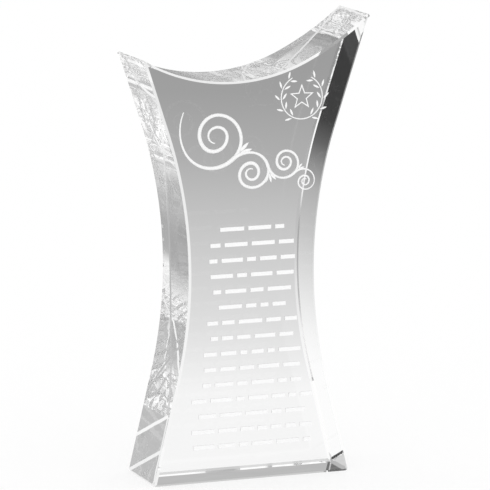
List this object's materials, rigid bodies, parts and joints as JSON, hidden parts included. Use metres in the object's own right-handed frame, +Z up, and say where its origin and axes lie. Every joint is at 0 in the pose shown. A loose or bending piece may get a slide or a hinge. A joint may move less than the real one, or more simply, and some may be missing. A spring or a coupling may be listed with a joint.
{
  "type": "crystal award",
  "caption": "Tall clear crystal award slab with hollowed sides and a swept, two-pointed top, sand carved on its front face.",
  "frame": {"origin": "middle of the flat foot, on the surface that the award stands on", "axes": "+Z up from the foot to the tips, +X towards the award's right tip as seen from the front, +Y from the carved front face to the back"},
  "size_m": [0.1305, 0.0441, 0.255],
  "materials": {
    "crystal": "polished",
    "carving_fill": "matte"
  },
  "bodies": {
    "root": {"crystal_block": "crystal", "scroll_stem": "carving_fill", "large_scroll": "carving_fill", "middle_scroll": "carving_fill", "rising_scroll": "carving_fill", "last_scroll": "carving_fill", "scroll_leaves": "carving_fill", "emblem_star": "carving_fill", "emblem_laurel": "carving_fill", "citation_row_01": "carving_fill", "citation_row_02": "carving_fill", "citation_row_03": "carving_fill", "citation_row_04": "carving_fill", "citation_row_05": "carving_fill", "citation_row_06": "carving_fill", "citation_row_07": "carving_fill", "citation_row_08": "carving_fill", "citation_row_09": "carving_fill", "citation_row_10": "carving_fill", "citation_row_11": "carving_fill", "citation_row_12": "carving_fill", "citation_row_13": "carving_fill", "citation_row_14": "carving_fill", "citation_row_15": "carving_fill"}
  },
  "joints": []
}
